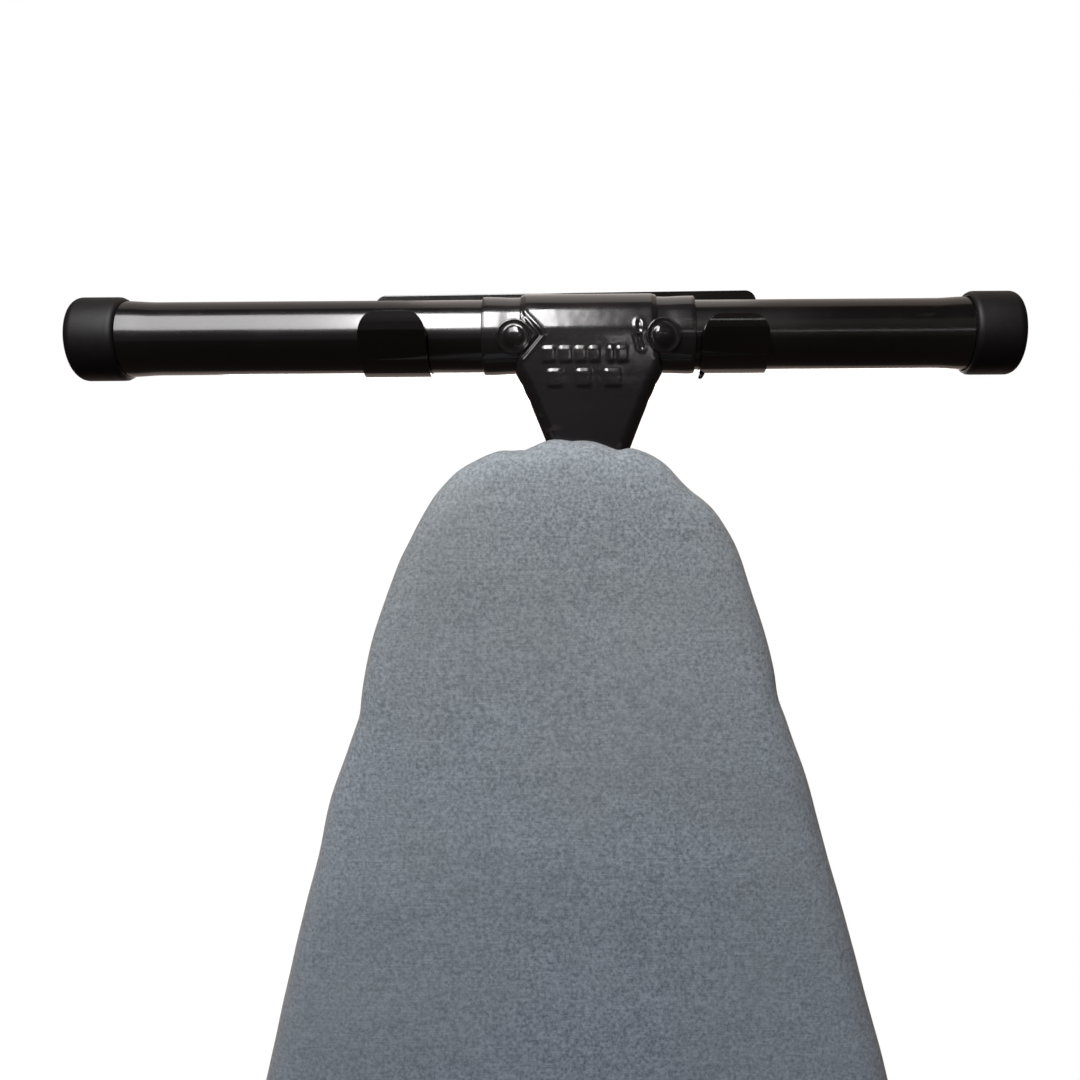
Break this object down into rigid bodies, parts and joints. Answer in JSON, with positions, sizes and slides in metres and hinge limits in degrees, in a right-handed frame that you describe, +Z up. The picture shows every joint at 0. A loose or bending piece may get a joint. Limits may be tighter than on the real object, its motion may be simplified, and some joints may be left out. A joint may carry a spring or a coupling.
{
  "type": "ironing board",
  "caption": "Full-size padded ironing board with crossed T-foot legs and a squeeze latch, folded and hung by its front foot on a two-hook wall hanger.",
  "frame": {"origin": "on the wall face of the hanger, midway between its two screw holes", "axes": "+X to the right of someone facing the wall, +Y into the wall, +Z up; the folded board hangs nose up on the -Y side"},
  "size_m": [0.4254, 0.0668, 1.4175],
  "materials": {
    "hanger_black": "semi-gloss black powder coat",
    "tube_black": "gloss black enamel",
    "tee_black": "gloss black enamel on pressed sheet",
    "cap_plastic": "matt black moulded",
    "panel_paint": "satin light grey enamel",
    "pad_felt": "needled felt",
    "cover_cloth": "plain-weave blue-grey cotton, faint slubs",
    "zinc_sheet": "dull zinc plate",
    "zinc_bright": "bright zinc plate",
    "nylon": "natural nylon"
  },
  "bodies": {
    "hanger": {"wall_hanger": "hanger_black"},
    "front_leg": {"front_leg_tube": "tube_black", "front_foot_tube": "tube_black", "front_foot_sleeve": "tee_black", "front_tee_shell": "tee_black", "front_tee_back": "tee_black", "front_tee_rivets": "tee_black", "front_foot_cap_left": "cap_plastic", "front_foot_cap_right": "cap_plastic", "front_rod_lug": "tee_black", "front_cross_rod": "zinc_bright", "front_push_nuts": "zinc_bright", "front_leg_plug": "cap_plastic", "cross_bolt": "zinc_bright", "cross_nut": "zinc_bright", "cross_washers": "zinc_bright", "cross_spacer": "cap_plastic"},
    "board": {"top_panel": "panel_paint", "pad": "pad_felt", "cover": "cover_cloth", "hinge_bracket_left": "zinc_sheet", "hinge_bracket_right": "zinc_sheet", "slide_rail_left": "zinc_sheet", "slide_rail_right": "zinc_sheet", "lock_rail": "zinc_sheet", "board_rivets": "zinc_bright"},
    "rear_leg": {"rear_leg_tube": "tube_black", "rear_foot_tube": "tube_black", "rear_foot_sleeve": "tee_black", "rear_tee_shell": "tee_black", "rear_tee_back": "tee_black", "rear_tee_rivets": "tee_black", "rear_foot_cap_left": "cap_plastic", "rear_foot_cap_right": "cap_plastic", "rear_rod_lug": "tee_black", "rear_cross_rod": "zinc_bright", "rear_push_nuts": "zinc_bright", "rear_leg_plug": "cap_plastic", "slide_bush_left": "nylon", "slide_bush_right": "nylon"},
    "latch": {"latch_carriage": "zinc_sheet", "lever_pin": "zinc_bright", "lever_spring": "zinc_bright"},
    "lever": {"latch_lever": "zinc_bright", "lever_grip": "cap_plastic"}
  },
  "joints": [
    {"name": "lift_off", "type": "slide", "parent": "hanger", "child": "front_leg", "axis": [0, 0, 1], "range_m": [0, 0.045]},
    {"name": "board_fold", "type": "hinge", "parent": "front_leg", "child": "board", "pos_m": [0.003, -0.0418, -1.0755], "axis": [1, 0, 0], "range_deg": [0, 54.17]},
    {"name": "rear_leg_swing", "type": "hinge", "parent": "front_leg", "child": "rear_leg", "pos_m": [-0.0021, -0.022, -0.6755], "axis": [1, 0, 0], "range_deg": [0, 108.34]},
    {"name": "carriage_follow", "type": "hinge", "parent": "rear_leg", "child": "latch", "pos_m": [0.031, -0.0418, -0.2755], "axis": [1, 0, 0], "range_deg": [-54.18, 0]},
    {"name": "lever_squeeze", "type": "hinge", "parent": "latch", "child": "lever", "pos_m": [0.031, -0.043, -0.3055], "axis": [1, 0, 0], "range_deg": [0, 9], "stiffness_Nm_per_rad": 0.4, "springref_deg": -14.32}
  ],
  "couplings": [
    {"joint": "rear_leg_swing", "follows": "board_fold", "ratio": 2},
    {"joint": "carriage_follow", "follows": "board_fold", "ratio": -1}
  ]
}
